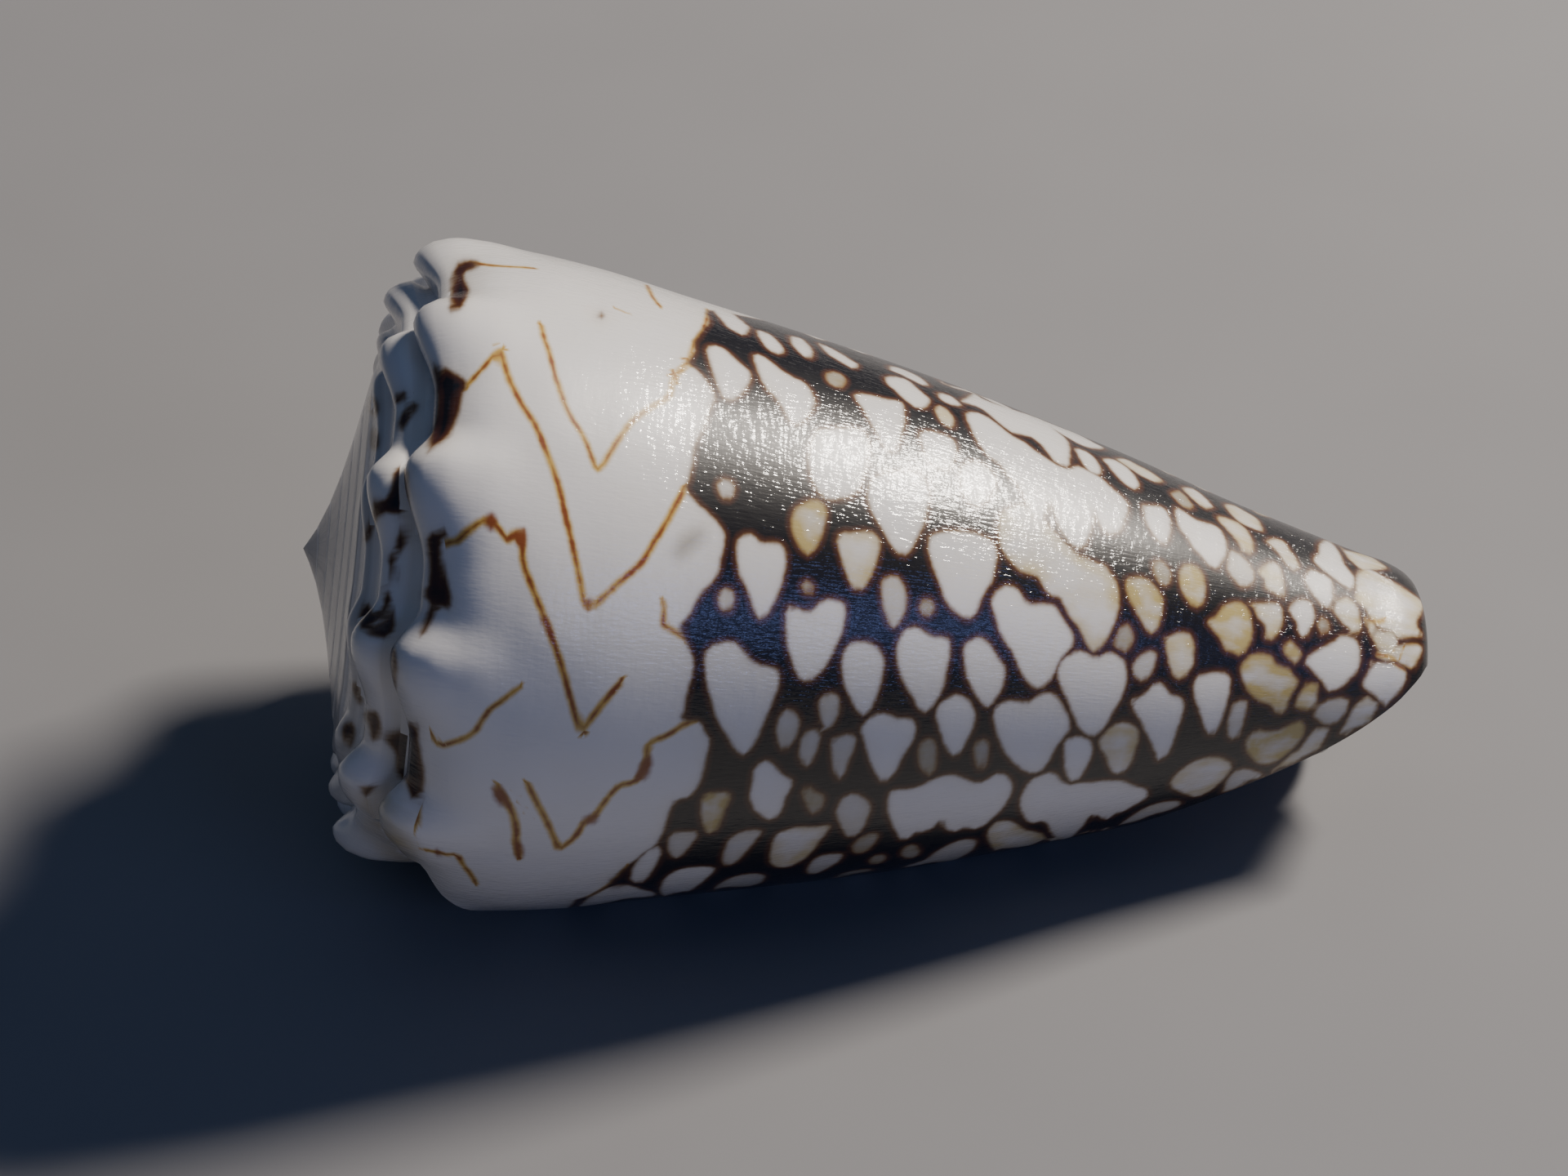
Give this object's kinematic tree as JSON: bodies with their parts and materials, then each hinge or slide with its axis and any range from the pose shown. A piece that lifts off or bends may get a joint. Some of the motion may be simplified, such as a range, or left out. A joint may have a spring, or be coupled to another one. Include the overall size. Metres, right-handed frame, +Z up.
{
  "type": "cone shell",
  "caption": "Marine cone shell lying on its side: broad knobbed spire, long straight-sided body whorl tapering to a blunt front end, narrow aperture under a thin lip.",
  "frame": {"origin": "centre of the bounding box in plan, at the height of the ground that the shell lies on", "axes": "+Z up; +X from the apex of the spire towards the front end, level; -Y towards the side seen in the picture"},
  "size_m": [0.0752, 0.0432, 0.0418],
  "materials": {
    "shell": "gloss"
  },
  "bodies": {
    "root": {"shell": "shell"}
  },
  "joints": []
}
